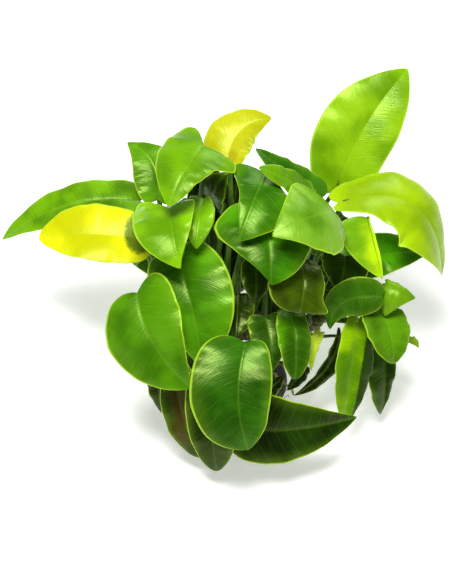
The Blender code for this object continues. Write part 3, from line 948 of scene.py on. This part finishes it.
@dataclass(frozen=True)
class Stone:
    """The stone: half sizes of the round body that is cut flat at z = 0."""

    centre: Triple = (0.0, 2.0, 12.0)
    half_sizes: Triple = (27.0, 22.0, 20.0)
    rings: int = 150
    columns: int = 260
    finish: RockFinish = RockFinish()

    def radius(self, way: np.ndarray) -> np.ndarray:
        """Return how far the stone reaches from its centre in unit directions.

        An oval body, 1 / |way / half sizes|, times 1 plus low sine lumps.
        """
        x, y, z = np.moveaxis(way, -1, 0)
        plain = 1 / np.linalg.norm(way / np.array(self.half_sizes), axis=-1)
        lumps = 0.035 * np.sin(4 * x + 1.3) * np.cos(3 * y)
        lumps = lumps + 0.03 * np.sin(5 * y - 0.6 + 2 * z) + 0.02 * np.sin(7 * x - 4 * z)
        return plain * (1 + lumps)

    def crags(self, way: np.ndarray) -> np.ndarray:
        """Return relief in millimetres, always inwards from the plain body.

        Octaves of sine waves in seeded directions; each folds into a ridge by
        its absolute value, and each octave is finer and lower than the last.
        """
        chance = np.random.default_rng(41)
        total = np.zeros(way.shape[:-1])
        for octave in range(5):
            for _ in range(5):
                direction = unit(chance.normal(size=3)) * 4.2 * 1.9**octave
                wave = np.sin(way @ direction + chance.uniform(0, 6.28))
                total = total + np.abs(wave) * 0.36 * 0.62**octave
        return -0.25 - 0.9 * total

    def build(self) -> bpy.types.Object:
        """Make the stone from a grid of falls from the top and bearings.

        Below its centre a direction stops at the plane z = 0, so the underside
        is flat.

        Returns:
            The stone's object.
        """
        fall = np.linspace(0, np.pi, self.rings)[:, None]
        turn = np.linspace(0, 2 * np.pi, self.columns, endpoint=False)[None]
        way = bearing_way(fall, turn)
        reach = self.radius(way) + self.crags(way)
        down = -way[..., 2]
        below = np.where(down > 1e-6, self.centre[2] / np.maximum(down, 1e-6), np.inf)
        places = np.array(self.centre) + way * np.minimum(reach, below)[..., None]
        skin = Skin.wrapped(places, fall + 0 * turn, turn + 0 * fall).facing_out()
        piece = skin.piece("pitted_stone", [self.finish.material("pitted_rock")])
        return settle(piece, Slot.STONE, "stone")


@dataclass(frozen=True)
class Branch:
    """One branch of the rhizome, ringed by the scars of fallen leaves."""

    name: str
    scar_spacing: float = 3.1
    scar_width: float = 0.32
    scar_depth: float = 0.3
    knobs: int = 34
    rings: int = 150
    columns: int = 44
    finish: BarkFinish = BarkFinish()

    def build(self) -> bpy.types.Object:
        """Make the branch, a tube along its curve.

        Its radius is the branch's x (0.84 + 0.16 sine), less a groove at each
        scar, depth x exp(-(distance / width)^2), that slants round the branch,
        plus low knobs where roots and buds start. Both ends are round.

        Returns:
            The branch's object.
        """
        points, radius = RHIZOME[self.name]
        share = np.linspace(0, 1, self.rings)
        path = bezier(points, share)
        length = np.linalg.norm(np.diff(path, axis=0), axis=1).sum()
        chance = np.random.default_rng(len(self.name) * 7)
        angle = np.linspace(0, 2 * np.pi, self.columns, endpoint=False)[None]
        place = share[:, None] * length + 0.7 * np.sin(angle + 1) + 0.25 * np.sin(3 * angle)
        gap = (place + 0.5 * np.sin(place * 0.7)) / self.scar_spacing
        scar = np.exp(-(((gap - np.round(gap)) * self.scar_spacing / self.scar_width) ** 2))
        knobs = np.zeros_like(place)
        for _ in range(self.knobs):
            at, turn = chance.uniform(0.03, 0.97), chance.uniform(0, 2 * np.pi)
            away = ((share[:, None] - at) * length) ** 2
            away = away + (radius * np.sin((angle - turn) / 2) * 2) ** 2
            knobs = knobs + chance.uniform(0.15, 0.5) * np.exp(-away / chance.uniform(0.5, 1.4))
        lumps = 0.12 * np.sin(3 * angle + share[:, None] * 17)
        lumps = lumps + 0.1 * np.sin(share[:, None] * 29 + angle)
        plain = radius * (0.84 + 0.16 * np.sin(np.pi * share))
        end = np.minimum(share, 1 - share) * length
        round_end = np.sqrt(np.clip(1 - (1 - np.clip(end / 2.6, 0, 1)) ** 2, 0, 1))
        reach = plain[:, None] - self.scar_depth * scar + knobs + lumps
        reach = reach * np.maximum(round_end, 0.01)[:, None]
        side = np.broadcast_to((0.1, 0.2, 1.0), path.shape)
        skin = tube(path, np.ones(self.rings), side, self.columns, reach)
        skin.values = {"scar": scar.ravel()}
        piece = skin.piece(f"creeping_{self.name}", [self.finish.material(f"{self.name}_bark")])
        return settle(piece, Slot.RHIZOME, self.name)


@dataclass(frozen=True)
class Root:
    """One root that lies over the stone: its bearing and its two falls."""

    name: str
    bearing: float
    upper: float
    lower: float
    thickness: float = 0.8
    gap: float = 0.6
    rings: int = 90
    columns: int = 14
    finish: RootFinish = RootFinish()

    def path(self, stone: Stone, share: np.ndarray) -> np.ndarray:
        """Return places along the root, just over the stone's plain body."""
        fall = np.radians(self.upper + (self.lower - self.upper) * share)
        turn = np.radians(self.bearing + 5 * np.sin(3 * share + self.bearing))
        turn = turn + 0.012 * np.sin(share * 21 + self.bearing)
        way = bearing_way(fall, turn)
        lift = self.thickness + self.gap - 0.5 * np.sin(np.pi * share) ** 2
        return np.array(stone.centre) + way * (stone.radius(way) + lift)[..., None]

    def build(self, stone: Stone) -> bpy.types.Object:
        """Make the root, a knotty tube that thins to a round end."""
        share = np.linspace(0, 1, self.rings)
        path = self.path(stone, share)
        end = np.minimum(share / 0.02, (1 - share) / 0.06).clip(0, 1)
        radii = self.thickness * (1 - 0.4 * share) * np.sqrt(1 - (1 - end) ** 2).clip(0.02)
        angle = np.linspace(0, 2 * np.pi, self.columns, endpoint=False)[None]
        knots = 1 + 0.09 * np.sin(share[:, None] * 61 + self.bearing)
        knots = knots + 0.06 * np.sin(2 * angle + share[:, None] * 33)
        skin = tube(path, radii, path - np.array(stone.centre), self.columns, knots)
        piece = skin.piece(f"gripping_{self.name}", [self.finish.material(f"{self.name}_skin")])
        return settle(piece, Slot.ROOT, self.name)


@dataclass(frozen=True)
class Rootlets:
    """The fine roots that leave the rhizome and wander over the stone."""

    count: int = 54
    radius: float = 0.24
    rings: int = 26
    columns: int = 6
    finish: RootFinish = RootFinish("#8f8450", "#4a4020", "#6f7a38")

    def build(self, stone: Stone) -> bpy.types.Object:
        """Make all the rootlets as one piece of closed thin tubes.

        Each starts high on the stone, falls by 16 to 44 degrees and sways
        round it by two sines of its own.

        Args:
            stone: The stone that they wander over.

        Returns:
            The rootlets' object.
        """
        chance = np.random.default_rng(5)
        share = np.linspace(0, 1, self.rings)
        whole: Optional[Skin] = None
        for _ in range(self.count):
            start, upper = chance.uniform(0, 2 * np.pi), chance.uniform(24, 66)
            fall = np.radians(upper + chance.uniform(16, 44) * share)
            sway = chance.uniform(0.05, 0.3)
            sway = sway * np.sin(share * chance.uniform(2, 7) + chance.uniform(0, 6))
            turn = start + sway + 0.03 * np.sin(share * chance.uniform(12, 30))
            way = bearing_way(fall, turn)
            lift = 0.5 * np.sin(share * chance.uniform(3, 9) + chance.uniform(0, 6)) ** 2 + 0.05
            path = np.array(stone.centre) + way * (stone.radius(way) + lift)[..., None]
            path[:, 2] = np.maximum(path[:, 2], self.radius)
            thin = self.radius * chance.uniform(0.6, 1.2) * (1 - 0.6 * share)
            thin = thin * np.minimum(1, np.minimum(share, 1 - share) * 14 + 0.05)
            skin = tube(path, thin, path - np.array(stone.centre), self.columns)
            whole = skin if whole is None else whole.joined(skin)
        whole.slots = None
        piece = whole.piece("fine_rootlets", [self.finish.material("rootlet_skin")])
        return settle(piece, Slot.ROOT)


# --------------------------------------------------------------------------
# Studio
# --------------------------------------------------------------------------


@dataclass(frozen=True)
class Softbox:
    """A soft square light that looks at the plant, sizes in metres."""

    name: str
    place: Triple
    size: tuple[float, float]
    power: float


@dataclass(frozen=True)
class Studio:
    """The floor, the lights, the sky and the camera, in metres and degrees."""

    aim: Triple = (-0.002, 0.025, 0.044)
    distance: float = 1.0
    elevation: float = 50.0
    sensor: float = 36.0
    view_height: float = 0.24528
    floor_radius: float = 3.0
    sky: float = 0.2
    softboxes: tuple[Softbox, ...] = (
        Softbox("overhead_softbox", (-0.10, -0.12, 1.00), (0.42, 0.32), 12.5),
        Softbox("rear_softbox", (0.35, 0.85, 0.70), (0.5, 0.4), 3.0),
        Softbox("front_softbox", (-0.75, -0.75, 0.55), (0.6, 0.5), 1.0),
    )

    def build_floor(self) -> None:
        """Make the floor, a flat disc at z = 0."""
        turn = np.linspace(0, 2 * np.pi, 96, endpoint=False)
        rim = np.stack([np.cos(turn), np.sin(turn), 0 * turn], -1) * self.floor_radius
        mesh = bpy.data.meshes.new("studio_floor")
        mesh.from_pydata(rim, [], [tuple(range(len(rim)))])
        mesh.materials.append(FloorFinish().material("pale_paper"))
        floor = bpy.data.objects.new("studio_floor", mesh)
        bpy.context.scene.collection.objects.link(floor)

    def build_lights(self) -> None:
        """Hang the softboxes, and set an even pale sky."""
        for box in self.softboxes:
            light = bpy.data.lights.new(box.name, "AREA")
            light.shape = "RECTANGLE"
            light.size, light.size_y = box.size
            light.energy = box.power
            lamp = bpy.data.objects.new(box.name, light)
            way = unit(np.array(self.aim) - np.array(box.place))
            lamp.rotation_mode = "QUATERNION"
            lamp.rotation_quaternion = Vector(way).to_track_quat("-Z", "Y")
            lamp.location = box.place
            bpy.context.scene.collection.objects.link(lamp)
        world = bpy.data.worlds.new("pale_sky")
        world.use_nodes = True
        ground = world.node_tree.nodes["Background"]
        ground.inputs["Color"].default_value = WHITE
        ground.inputs["Strength"].default_value = self.sky
        bpy.context.scene.world = world

    def build_camera(self) -> None:
        """Make the camera, which looks down on the plant from its open side."""
        lens = bpy.data.cameras.new("studio_camera")
        lens.sensor_width = self.sensor
        lens.lens = self.sensor / self.view_height * self.distance
        lens.clip_start, lens.clip_end = 0.05, 20.0
        camera = bpy.data.objects.new("studio_camera", lens)
        rise = math.radians(self.elevation)
        back = np.array((0.0, -math.cos(rise), math.sin(rise)))
        camera.location = np.array(self.aim) + back * self.distance
        camera.rotation_euler = (math.pi / 2 - rise, 0.0, 0.0)
        bpy.context.scene.collection.objects.link(camera)
        bpy.context.scene.camera = camera

    def build(self) -> None:
        """Set the whole studio up, with plain colours on the screen."""
        self.build_camera()
        self.build_floor()
        self.build_lights()
        view = bpy.context.scene.view_settings
        view.view_transform = "Standard"
        view.look = "None"


# --------------------------------------------------------------------------
# The plant
# --------------------------------------------------------------------------

ROOTS = (
    Root("root_left", 176, 58, 98),
    Root("root_left_front", 212, 40, 104),
    Root("root_front_left", 240, 30, 96),
    Root("root_front_right", 320, 34, 101),
    Root("root_right_front", 344, 48, 95),
    Root("root_right", 8, 58, 103),
    Root("root_back_right", 58, 38, 99),
    Root("root_back_left", 124, 36, 102),
)

REAR = BladeFinish("#33620a", "#1a4206")
# Near-black greens for leaves deep in the heart: painted shade
SHADOWED = BladeFinish("#183006", "#0a1a02")
HEART_SHADE_GREENS = BladeFinish("#152c06", "#0a1a03")

# Each leaf's greens are set one at a time; the lower and inner leaves get darker greens than
# their neighbours, painted shade on top of the lamps' own shading
LEAVES = (
    Leaf("leaf_tall_right", (44, 56, 73), (74, 94, 107), 30, Slot.FRESH,
         BladeFinish("#88b60e", "#5c8c02"), (RIGHT, 0.1, -80), arch=5, side=3, fold=8, lean=-0.1,
         lobes=(0.2, 0.2), edges=((1, 1, 1.05, 1.25, 1.5), (0.8, 0.87, 1.1, 1.22, 1.15))),
    Leaf("leaf_arching_right", (44, 40, 83), (88, 25, 54), 25, Slot.LIME,
         BladeFinish("#9cc006", "#80a402"), (RIGHT, 0.45, -15), arch=13, side=11, roll=-10,
         fold=8, cup=0.2, lobes=(0.15, 0.15),
         edges=((0.6, 0.75, 1.1, 2, 2.6), (1, 1.1, 1.27, 1.35, 1.3)), second=(40, 33, 74)),
    Leaf("leaf_folded_right", (56, 34, 81), (62, 12, 68), 24, Slot.FRESH,
         BladeFinish("#bae210", "#6aa00e"), (RIGHT, 0.85, -65), arch=2, roll=25, fold=30, cup=0,
         lean=0.3, lobes=(0.1, 0.1), edges=((0.8, 1, 1, 0.9, 0.8), (0.1, 0.12, 0.15, 0.2, 0.3)),
         first=(46, 38, 50), second=(54, 50, 66)),
    Leaf("leaf_shaded_right", (48, 29, 58), (85, 41, 52), 20, Slot.DEEP,
         BladeFinish("#4a9406", "#2c6602"), (RIGHT, 0.7, -10),
         edges=((1, 1, 0.95, 0.8, 0.7), EVEN)),
    Leaf("leaf_crown_right", (42, 24, 95), (16, 4, 103), 32, Slot.LIME,
         BladeFinish("#76a828", "#4e820a"), (MAIN, 0.88, -5), arch=6, fold=0, cup=0.25,
         taper=0.52, lobes=(0.05, 0.2),
         edges=((1.4, 1.25, 1.1, 1, 1), (0.75, 0.9, 1.05, 1.1, 1))),
    Leaf("leaf_crown_back", (37, 45, 80), (10, 55, 100), 15, Slot.DEEP,
         BladeFinish("#3a760c", "#205404"), (MAIN, 0.8, -50), arch=2, side=2,
         edges=((1.6, 1.4, 1.15, 1, 1), EVEN)),
    Leaf("leaf_crown_slim", (36, 35.5, 88.7), (11, 31, 114), 12, Slot.LIME,
         BladeFinish("#68a00a", "#467804"), (MAIN, 0.66, -40), arch=2, taper=0.8, lobes=(0, 0),
         first=(22, 36, 70), second=(38, 42, 79)),
    Leaf("leaf_crown_centre", (14, 36, 105), (3, 6, 98), 30, Slot.FRESH,
         BladeFinish("#428004", "#265c02"), (MAIN, 0.5, -15), fold=8, cup=0.3, lean=-0.25,
         tapers=(0.38, 0.62), lobes=(0.2, 0.05),
         edges=((2.3, 1.45, 1, 0.65, 0.9), (0.25, 0.45, 0.85, 1, 1))),
    Leaf("leaf_wavy_centre", (13, 29, 94), (16, -5, 84), 38, Slot.FRESH,
         BladeFinish("#448a04", "#205602"), (MAIN, 0.74, 15), arch=5, fold=5, cup=0.3, taper=0.7,
         tapers=(0.4, 0.7), edges=((0.75, 0.85, 1.1, 1.15, 1.3), (1, 1, 1, 1.05, 1.3)),
         first=(16, 16, 62)),
    Leaf("leaf_crown_left", (-11, 46, 111), (-25, 19, 104), 32, Slot.FRESH,
         BladeFinish("#689e04", "#4c7e02"), (MAIN, 0.3, -50), fold=0, cup=0.2,
         lobes=(0.75, 0.05), edges=((1.05, 1.05, 1, 0.95, 0.9), (2, 1.3, 0.6, 0.5, 0.6))),
    Leaf("leaf_upper_left", (-30, 41, 84), (-43, 65, 93), 20, Slot.LIME,
         BladeFinish("#5c960e", "#326402"), (MAIN, 0.2, -55), arch=3, side=-5, lobes=(0.2, 0.2),
         edges=((1, 1, 1, 0.9, 0.5), EVEN)),
    Leaf("leaf_middle_left", (-25, 29, 92), (-20, 1, 87), 30, Slot.FRESH,
         BladeFinish("#7cb40c", "#568a02"), (MAIN, 0.17, -10), arch=5, cup=0.2, lean=0.1,
         tapers=(0.62, 0.38), lobes=(0.8, 0.25),
         edges=((1.2, 1.05, 0.97, 1, 1), (1.1, 0.95, 0.75, 0.75, 0.9))),
    Leaf("leaf_long_left", (-38, 53, 70), (-97, 48, 51), 21, Slot.FRESH,
         BladeFinish("#6aa208", "#3c6a02"), (MAIN, 0.04, -60), arch=8, side=-2),
    # Its patch is a darker olive at the base of the blade
    Leaf("leaf_yellow_left", (-33, 32, 69), (-80, 37, 65), 25, Slot.YELLOW,
         BladeFinish("#d6d610", "#b6ba02", patch="#566a06"), (MAIN, 0.1, -20), taper=0.75,
         lobes=(0.1, 0.1), edges=((0.9, 1, 1.1, 1.3, 1.4), (1.3, 1.15, 1, 1, 1)),
         wither_or_shade=(WitherOrShade(0.05, -0.2, 0.22, 1.1),)),
    # Its patch near the base is painted shadow, as if another leaf shaded it
    Leaf("leaf_yellow_back", (-1, 51, 92), (17, 70, 102), 20, Slot.YELLOW,
         BladeFinish("#b4b616", "#989c04", patch="#a8a012"), (MAIN, 0.5, -55), arch=2, side=6,
         lean=-0.1, taper=0.7, lobes=(0.1, 0.1), edges=(EVEN, (1.1, 1.15, 1.15, 1, 1)),
         wither_or_shade=(WitherOrShade(0.12, -0.2, 0.2, 0.5, 0.7),)),
    Leaf("leaf_tucked_left", (-11, 36, 90), (-14, 14, 84), 14, Slot.LIME,
         BladeFinish("#74ac0a", "#447804"), (MAIN, 0.38, -15), arch=3,
         edges=(EVEN, (0.4, 0.55, 0.85, 1, 1))),
    Leaf("leaf_tucked_back", (-7, 44, 78), (-1, 47, 94), 16, Slot.DEEP,
         BladeFinish("#2e5202", "#1a3402"), (MAIN, 0.36, -65)),
    Leaf("leaf_broad_left", (-22, 18, 75), (-12, -16, 46), 35, Slot.FRESH,
         BladeFinish("#4e8e08", "#2e6402"), (MAIN, 0.28, 15), arch=7, side=3, cup=0.2, lean=-0.2,
         edges=((1.25, 1.2, 1, 1, 1), (0.7, 0.8, 0.88, 0.95, 1))),
    Leaf("leaf_heart_left", (-38, 2, 71), (-16, -29, 48), 33, Slot.FRESH,
         BladeFinish("#4c8604", "#306202"), (MAIN, 0.03, 30), arch=6, side=-3, cup=0.15,
         lean=0.2, lobes=(0.12, 0.35),
         edges=((0.75, 0.82, 0.93, 0.93, 1), (1.2, 1.3, 1.25, 1.1, 1))),
    Leaf("leaf_heart_front", (6, -17, 62), (7, -49, 33), 34, Slot.FRESH,
         BladeFinish("#2c6608", "#184402"), (FRONT, 0.75, 0), arch=6, side=-4, cup=0.15,
         lean=0.2, lobes=(0.12, 0.2),
         edges=((0.95, 0.95, 0.95, 1.1, 1.5), (0.9, 0.93, 1, 1.1, 1.6))),
    Leaf("leaf_low_front", (-9, -19, 46), (-6, -43, 10), 21, Slot.DEEP,
         BladeFinish("#213c04", "#0e2202"), (FRONT, 0.8, 60), arch=5, taper=0.75,
         edges=(EVEN, (1, 1, 1, 1.15, 1.15))),
    Leaf("leaf_browned_front", (-23, -15, 42), (-10, -35, 7), 18, Slot.OLIVE,
         BladeFinish("#2c4004", "#1a2a02"), (MAIN, 0.25, 75), arch=5, side=-2,
         edges=((0.7, 0.75, 0.85, 1, 1.2), EVEN),
         wither_or_shade=(WitherOrShade(0.3, 0.2, 0.32, 0.7), WitherOrShade(0.62, -0.5, 0.2, 0.4, 0.8))),
    Leaf("leaf_dark_left", (-29, -6, 43), (-28, -21, 20), 12, Slot.DEEP,
         BladeFinish("#1a3404", "#0c1c02"), (MAIN, 0.16, 88), arch=3),
    Leaf("leaf_low_right", (-1, -34, 26), (52, -27, 26), 27, Slot.DEEP,
         BladeFinish("#183802", "#081a02"), (FRONT, 0.97, 20), side=-1, lean=0.1, taper=0.55,
         lobes=(0.1, 0.1), edges=((0.85, 0.93, 1, 1, 1), (1.8, 1.6, 1.35, 1.1, 1))),
    # Its dark green patch along one half is painted shade, the side turned from the lamps
    Leaf("leaf_hanging_right", (53, 9, 46), (47, -26, 16), 17, Slot.LIME,
         BladeFinish("#94c006", "#4a7a04", patch="#1e3806"), (RIGHT, 0.65, 80), side=-3,
         edges=((0.6, 0.75, 0.9, 1, 1), (1, 1, 1.2, 1.3, 1.2)),
         wither_or_shade=(WitherOrShade(0.45, 0.9, 0.55, 0.55),)),
    Leaf("leaf_side_right", (61, 9, 52), (67, -11, 41), 22, Slot.FRESH,
         BladeFinish("#5a920a", "#305c02"), (RIGHT, 0.95, 50), arch=3, taper=0.8,
         edges=(EVEN, (1, 1, 0.97, 0.85, 0.8)), first=(53, 18, 47), second=(60, 14, 46)),
    Leaf("leaf_curled_right", (62, 8, 61), (41, 3, 46), 17, Slot.FRESH,
         BladeFinish("#386e0a", "#204602"), (RIGHT, 0.75, 15), arch=3, side=-7, lobes=(0.1, 0.1),
         edges=(EVEN, (1, 1, 1, 0.85, 0.6)), first=(50, 14, 57), second=(57, 9, 54)),
    Leaf("leaf_outer_right", (64, 15, 62), (76, 10, 58), 12, Slot.LIME,
         BladeFinish("#64940a", "#2c4e04"), (RIGHT, 0.95, -30), arch=2, cup=0.4, lean=0.5,
         edges=((1, 1.2, 1.3, 1.3, 1), (0.8, 0.6, 0.4, 0.3, 0.3))),
    Leaf("leaf_small_right", (74, 10, 31), (79, 6, 30), 4, Slot.LIME,
         BladeFinish("#92ba10", "#5c8208"), (RIGHT, 0.97, 76), arch=2, first=(57, 19, 37),
         second=(70, 15, 30)),
    Leaf("leaf_drooping_right", (63, 8, 34), (63, -13, 9), 12, Slot.DEEP,
         BladeFinish("#224a04", "#102606"), (RIGHT, 0.8, 85), arch=3,
         edges=((1, 1.2, 1.4, 1.6, 1.8), (1, 1, 1, 0.8, 0.6))),
    Leaf("leaf_curved_right", (46, 9, 36), (26, -13, 22), 6, Slot.DEEP,
         BladeFinish("#142202", "#081202"), (MAIN, 0.9, 80), arch=3, side=3,
         edges=(EVEN, (1.5, 1.6, 1.6, 1.6, 1.6))),
    Leaf("leaf_young_rolled", (37, 1, 47), (33, -15, 41), 5, Slot.YELLOW,
         BladeFinish("#c8dc3c", "#98b81c"), (MAIN, 0.85, 60), arch=3, side=-3),
    Leaf("leaf_inner_small", (14, -1, 59), (17, -20, 48), 15, Slot.FRESH,
         BladeFinish("#2e560a", "#163602"), (FRONT, 0.4, -30), arch=2,
         edges=((1.2, 1.2, 1.1, 1, 1), (1.4, 1.3, 1.1, 1, 1))),
    Leaf("leaf_inner_front", (24.5, 1, 59), (26, -23, 46), 14, Slot.FRESH,
         BladeFinish("#4e9002", "#224c02"), (FRONT, 0.2, -50), arch=3, taper=0.9,
         edges=((1.1, 1.2, 1.1, 1, 1), EVEN)),
    Leaf("leaf_olive_centre", (28, 16, 76), (28, -6, 68), 30, Slot.OLIVE,
         BladeFinish("#446002", "#243402"), (MAIN, 0.8, 35), arch=5, cup=0.2, taper=1.3,
         tapers=(1.3, 2.2), lobes=(0, 0), edges=(EVEN, (1, 0.7, 0.55, 0.95, 1.1))),
    Leaf("leaf_inner_round", (3, 11, 59), (2, -8, 56), 14, Slot.DEEP,
         BladeFinish("#142602", "#0a1402"), (FRONT, 0.1, 40), arch=2, taper=0.9),
    Leaf("leaf_inner_slim", (10, 18, 72), (10, 5, 61), 13, Slot.DEEP,
         BladeFinish("#142e02", "#0a1a02"), (MAIN, 0.62, 45), arch=2),
    Leaf("leaf_inner_right", (47, 26, 66), (44, 13, 60), 22, Slot.DEEP,
         BladeFinish("#224404", "#0e2402"), (RIGHT, 0.3, 20), arch=2),
    Leaf("leaf_peeping_right", (42, 43, 72), (48, 33, 70), 10, Slot.DEEP,
         BladeFinish("#285208", "#143402"), (RIGHT, 0.3, -50), arch=1),
    Leaf("leaf_low_small", (13, -16, 25), (22, -11, 34), 7, Slot.DEEP,
         BladeFinish("#182e06", "#0a1802"), (FRONT, 0.75, -80), arch=1),
    Leaf("leaf_low_slim", (31, -6, 33), (23, -18, 32), 7, Slot.DEEP,
         BladeFinish("#182e06", "#0a1802"), (FRONT, 0.5, -75), arch=1),
    Leaf("leaf_shadowed_left", (1, 46, 58), (3, 60, 86), 24, Slot.DEEP, SHADOWED,
         (MAIN, 0.44, -62), arch=2),
    Leaf("leaf_shadowed_centre", (11, 30, 48), (13, 45, 66), 19, Slot.DEEP, SHADOWED,
         (MAIN, 0.67, -66), arch=2),
    Leaf("leaf_rear_left", (-18, 52, 58), (-34, 72, 34), 22, Slot.DEEP, REAR, (MAIN, 0.25, -95)),
    Leaf("leaf_rear_centre", (8, 50, 56), (12, 76, 36), 24, Slot.DEEP, REAR, (MAIN, 0.58, -85)),
    Leaf("leaf_rear_right", (32, 48, 50), (50, 68, 34), 22, Slot.DEEP, REAR, (MAIN, 0.95, -95)),
    Leaf("leaf_rear_low", (-2, 42, 47), (-8, 62, 24), 20, Slot.DEEP, REAR, (MAIN, 0.45, -90)),
    Leaf("leaf_rear_side", (-28, 36, 48), (-42, 60, 32), 16, Slot.DEEP, REAR, (MAIN, 0.12, -90)),
)

# Small dark leaves deep in the heart, past the frame's limit of nodes
# Their near-black greens are painted shade that fills the gaps between the stalks
HEART_LEAVES = tuple(
    Leaf(f"leaf_heart_{name}", base, tip, width, Slot.DEEP, HEART_SHADE_GREENS, foot)
    for name, base, tip, width, foot in (
        ("small", (35, 31, 50), (44, 22, 44), 12, (RIGHT, 0.6, -30)),
        ("rear", (-2, 34, 36), (-1, 47, 60), 20, (MAIN, 0.42, -95)),
        ("side", (-12, 38, 44), (-12, 51, 71), 20, (MAIN, 0.3, -95)),
        ("right", (31, 32, 26), (35, 48, 50), 24, (RIGHT, 0.1, -95)),
        ("low", (12, 20, 30), (15, 34, 50), 22, (MAIN, 0.72, -95)),
        ("top", (-8, 50, 66), (-11, 60, 88), 20, (MAIN, 0.35, -95)),
    )
)


def main() -> None:
    """Build the stone, the rhizome, the roots and the leaves, and report them."""
    Studio().build()
    stone = Stone()
    made = [stone.build()]
    made += [Branch(name).build() for name in RHIZOME]
    made += [root.build(stone) for root in ROOTS]
    made.append(Rootlets().build(stone))
    made += [leaf.build() for leaf in LEAVES]
    made += [leaf.build(solid=False) for leaf in HEART_LEAVES]
    for piece in made:
        log.info("%s: %d faces", piece.name, len(piece.data.polygons))


if __name__ == "__main__":
    logging.basicConfig(level=logging.INFO, format="%(message)s")
    main()
